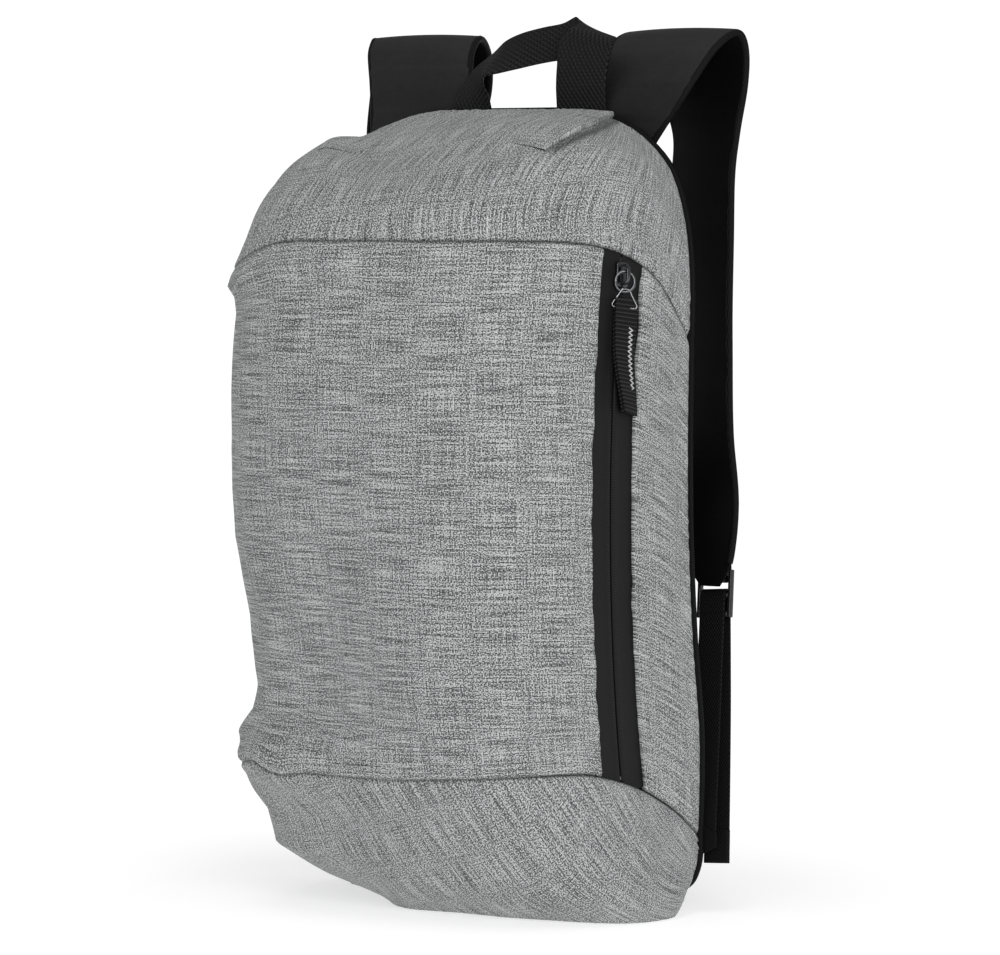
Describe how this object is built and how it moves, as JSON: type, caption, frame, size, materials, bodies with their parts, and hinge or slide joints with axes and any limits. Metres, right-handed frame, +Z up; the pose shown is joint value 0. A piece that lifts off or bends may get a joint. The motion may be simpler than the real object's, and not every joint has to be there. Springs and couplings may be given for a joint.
{
  "type": "daypack",
  "caption": "Small soft day backpack with a rounded fabric shell, a vertical zipped opening at the front corner, padded back, shoulder straps with adjusting webbing and a haul loop.",
  "frame": {"origin": "on the flat base of the bag, midway between its sides, 40 mm in front of the back seam", "axes": "+Z up, +Y towards the back panel and shoulder straps (the front faces -Y), +X to the right of someone facing the front"},
  "size_m": [0.2385, 0.1853, 0.4424],
  "materials": {
    "melange_fabric": "matt woven heather",
    "black_cloth": "plain nylon weave",
    "black_webbing": "woven webbing",
    "coated_zip": "coated tape",
    "foam": "closed-cell foam",
    "dark_metal": "polished gun-metal plate",
    "light_thread": "polyester thread",
    "black_plastic": "moulded"
  },
  "bodies": {
    "pack": {"front_panel": "melange_fabric", "side_panel": "melange_fabric", "top_yoke": "melange_fabric", "bottom_panel": "melange_fabric", "back_panel": "black_cloth", "back_foam": "foam", "back_lining": "black_cloth", "back_binding": "black_webbing", "yoke_seam_tape": "black_webbing", "bottom_seam_tape": "black_webbing", "zip_tape_front": "coated_zip", "zip_tape_side": "coated_zip", "zip_coil_front": "black_plastic", "zip_coil_side": "black_plastic", "zip_stops": "dark_metal", "haul_loop_anchor": "black_webbing", "right_strap_anchor": "black_cloth", "right_webbing_gusset": "black_cloth", "left_strap_anchor": "black_cloth", "left_webbing_gusset": "black_cloth"},
    "zip_slider": {"zip_slider": "dark_metal"},
    "zip_link": {"pull_link": "dark_metal"},
    "zip_pull": {"pull_ring": "dark_metal", "pull_tab": "black_webbing"},
    "haul_loop": {"haul_loop": "black_webbing"},
    "right_strap": {"right_strap_face": "black_cloth", "right_strap_foam": "foam", "right_strap_back": "black_cloth", "right_strap_end_loop": "black_webbing"},
    "right_webbing": {"right_webbing": "black_webbing"},
    "right_ladderlock": {"right_ladderlock": "black_plastic", "right_webbing_tail": "black_webbing"},
    "left_strap": {"left_strap_face": "black_cloth", "left_strap_foam": "foam", "left_strap_back": "black_cloth", "left_strap_end_loop": "black_webbing"},
    "left_webbing": {"left_webbing": "black_webbing"},
    "left_ladderlock": {"left_ladderlock": "black_plastic", "left_webbing_tail": "black_webbing"}
  },
  "joints": [
    {"name": "zip_travel", "type": "hinge", "parent": "pack", "child": "zip_slider", "pos_m": [0.0971, 0.7676, 0.2], "axis": [1, 0, 0], "range_deg": [0, 12.5]},
    {"name": "zip_link_swing", "type": "hinge", "parent": "zip_slider", "child": "zip_link", "pos_m": [0.09867, -0.01373, 0.31898], "axis": [-0.2076, -0.9673, 0.1454], "range_deg": [0, 100]},
    {"name": "zip_pull_swing", "type": "hinge", "parent": "zip_link", "child": "zip_pull", "pos_m": [0.09867, -0.01518, 0.30929], "axis": [-0.2076, -0.9673, 0.1454], "range_deg": [0, 60]},
    {"name": "haul_loop_fold", "type": "hinge", "parent": "pack", "child": "haul_loop", "pos_m": [0.011, 0.0392, 0.4046], "axis": [1, 0, 0], "range_deg": [0, 50], "stiffness_Nm_per_rad": 0.03},
    {"name": "right_strap_swing", "type": "hinge", "parent": "pack", "child": "right_strap", "pos_m": [0.058, 0.0443, 0.4016], "axis": [1, 0, 0], "range_deg": [0, 5]},
    {"name": "right_webbing_swing", "type": "hinge", "parent": "pack", "child": "right_webbing", "pos_m": [0.11, 0.0444, 0.0366], "axis": [-1, 0, 0], "range_deg": [0, 9]},
    {"name": "right_webbing_adjust", "type": "slide", "parent": "right_webbing", "child": "right_ladderlock", "axis": [-0.0657, 0.1872, 0.9801], "range_m": [0, 0.0105]},
    {"name": "left_strap_swing", "type": "hinge", "parent": "pack", "child": "left_strap", "pos_m": [-0.058, 0.0443, 0.4016], "axis": [1, 0, 0], "range_deg": [0, 5]},
    {"name": "left_webbing_swing", "type": "hinge", "parent": "pack", "child": "left_webbing", "pos_m": [-0.11, 0.0444, 0.0366], "axis": [-1, 0, 0], "range_deg": [0, 9]},
    {"name": "left_webbing_adjust", "type": "slide", "parent": "left_webbing", "child": "left_ladderlock", "axis": [0.0657, 0.1872, 0.9801], "range_m": [0, 0.0105]}
  ],
  "couplings": [
    {"joint": "right_webbing_swing", "follows": "right_strap_swing", "ratio": 1.7},
    {"joint": "right_webbing_adjust", "follows": "right_strap_swing", "m_per_rad": 0.1167},
    {"joint": "left_webbing_swing", "follows": "left_strap_swing", "ratio": 1.7},
    {"joint": "left_webbing_adjust", "follows": "left_strap_swing", "m_per_rad": 0.1167}
  ]
}
